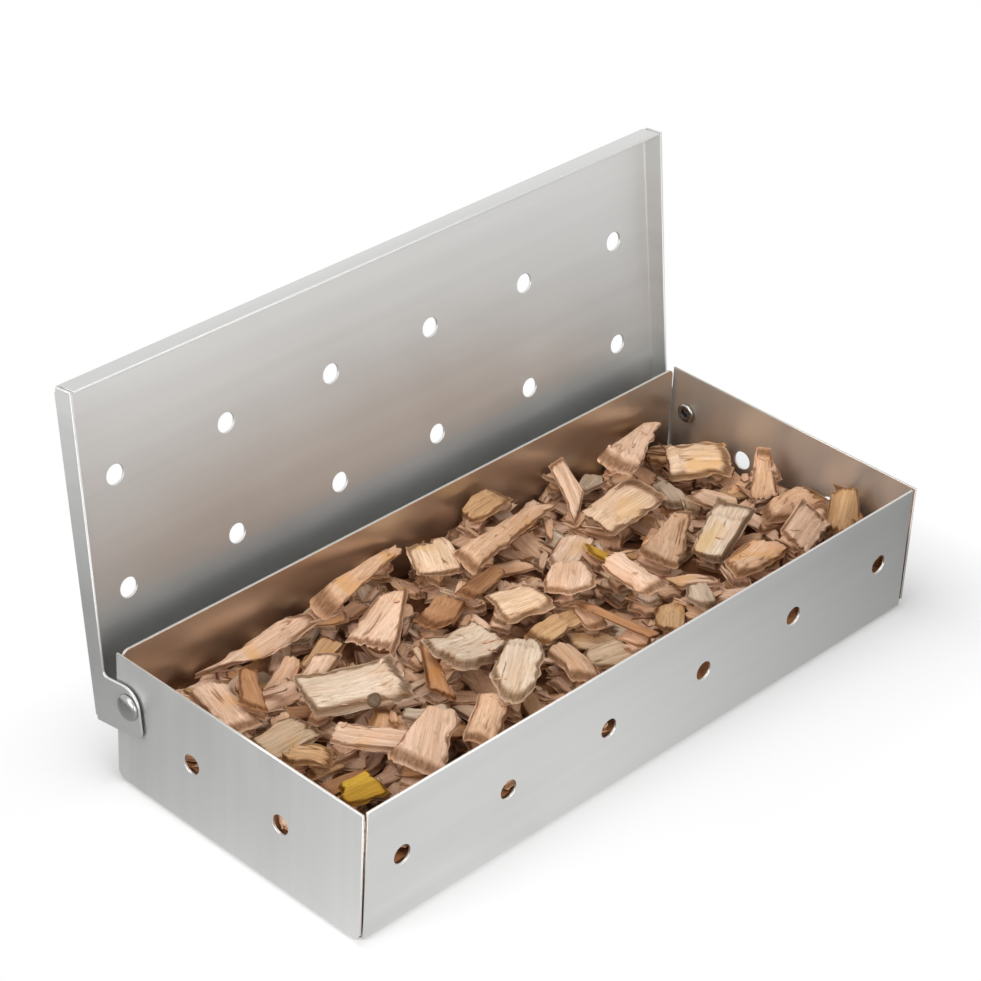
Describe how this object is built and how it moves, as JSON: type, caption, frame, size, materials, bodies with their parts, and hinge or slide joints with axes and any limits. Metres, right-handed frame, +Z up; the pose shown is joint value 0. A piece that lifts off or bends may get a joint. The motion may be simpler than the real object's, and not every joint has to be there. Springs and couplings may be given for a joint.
{
  "type": "grill smoker box",
  "caption": "Long folded sheet-steel tray filled with wood chips, with round smoke vents and a shallow vented lid that tilts on two rivets.",
  "frame": {"origin": "the middle of the tray's underside, on the surface that the box stands on", "axes": "+X along the box towards its right end, +Y from the front wall to the hinged back wall, +Z up"},
  "size_m": [0.237, 0.1178, 0.1185],
  "materials": {
    "sheet_steel": "satin stainless sheet, fine lengthwise brushing",
    "rivet_steel": "smooth bright steel",
    "wood_cream": "pale sapwood, freshly split, matt and fibrous",
    "wood_honey": "light honey-coloured wood with fine straight grain",
    "wood_rose": "pinkish tan wood with open fibres",
    "wood_tan": "mid tan wood, split along the grain",
    "wood_gold": "golden brown wood with ragged torn ends",
    "wood_yellow": "clear yellow sapwood sliver",
    "wood_brown": "darker brown heartwood, rough split",
    "wood_grey": "weathered grey-brown outer wood"
  },
  "bodies": {
    "tray": {"tray": "sheet_steel", "rivet_left": "rivet_steel", "rivet_right": "rivet_steel", "wood_chip_bed": "wood_brown", "wood_chip_01": "wood_grey", "wood_chip_02": "wood_gold", "wood_chip_03": "wood_brown", "wood_chip_04": "wood_tan", "wood_chip_05": "wood_brown", "wood_chip_06": "wood_brown", "wood_chip_07": "wood_gold", "wood_chip_08": "wood_rose", "wood_chip_09": "wood_brown", "wood_chip_10": "wood_gold", "wood_chip_11": "wood_grey", "wood_chip_12": "wood_brown", "wood_chip_13": "wood_rose", "wood_chip_14": "wood_tan", "wood_chip_15": "wood_cream", "wood_chip_16": "wood_gold", "wood_chip_17": "wood_rose", "wood_chip_18": "wood_gold", "wood_chip_19": "wood_gold", "wood_chip_20": "wood_rose", "wood_chip_21": "wood_brown", "wood_chip_22": "wood_rose", "wood_chip_23": "wood_tan", "wood_chip_24": "wood_rose", "wood_chip_25": "wood_honey", "wood_chip_26": "wood_cream", "wood_chip_27": "wood_cream", "wood_chip_28": "wood_rose", "wood_chip_29": "wood_yellow", "wood_chip_30": "wood_rose", "wood_chip_31": "wood_cream", "wood_chip_32": "wood_tan", "wood_chip_33": "wood_cream", "wood_chip_34": "wood_tan", "wood_chip_35": "wood_honey", "wood_chip_36": "wood_rose", "wood_chip_37": "wood_tan", "wood_chip_38": "wood_gold", "wood_chip_39": "wood_brown", "wood_chip_40": "wood_rose", "wood_chip_41": "wood_honey", "wood_chip_42": "wood_rose", "wood_chip_43": "wood_honey", "wood_chip_44": "wood_rose", "wood_chip_45": "wood_tan", "wood_chip_46": "wood_rose", "wood_chip_47": "wood_yellow", "wood_chip_48": "wood_rose", "wood_chip_49": "wood_cream", "wood_chip_50": "wood_cream", "wood_chip_51": "wood_tan", "wood_chip_52": "wood_rose", "wood_chip_53": "wood_tan", "wood_chip_54": "wood_tan"},
    "lid": {"lid": "sheet_steel"}
  },
  "joints": [
    {"name": "lid_hinge", "type": "hinge", "parent": "tray", "child": "lid", "pos_m": [0, 0.0411, 0.0288], "axis": [1, 0, 0], "range_deg": [0, 98.9]}
  ]
}
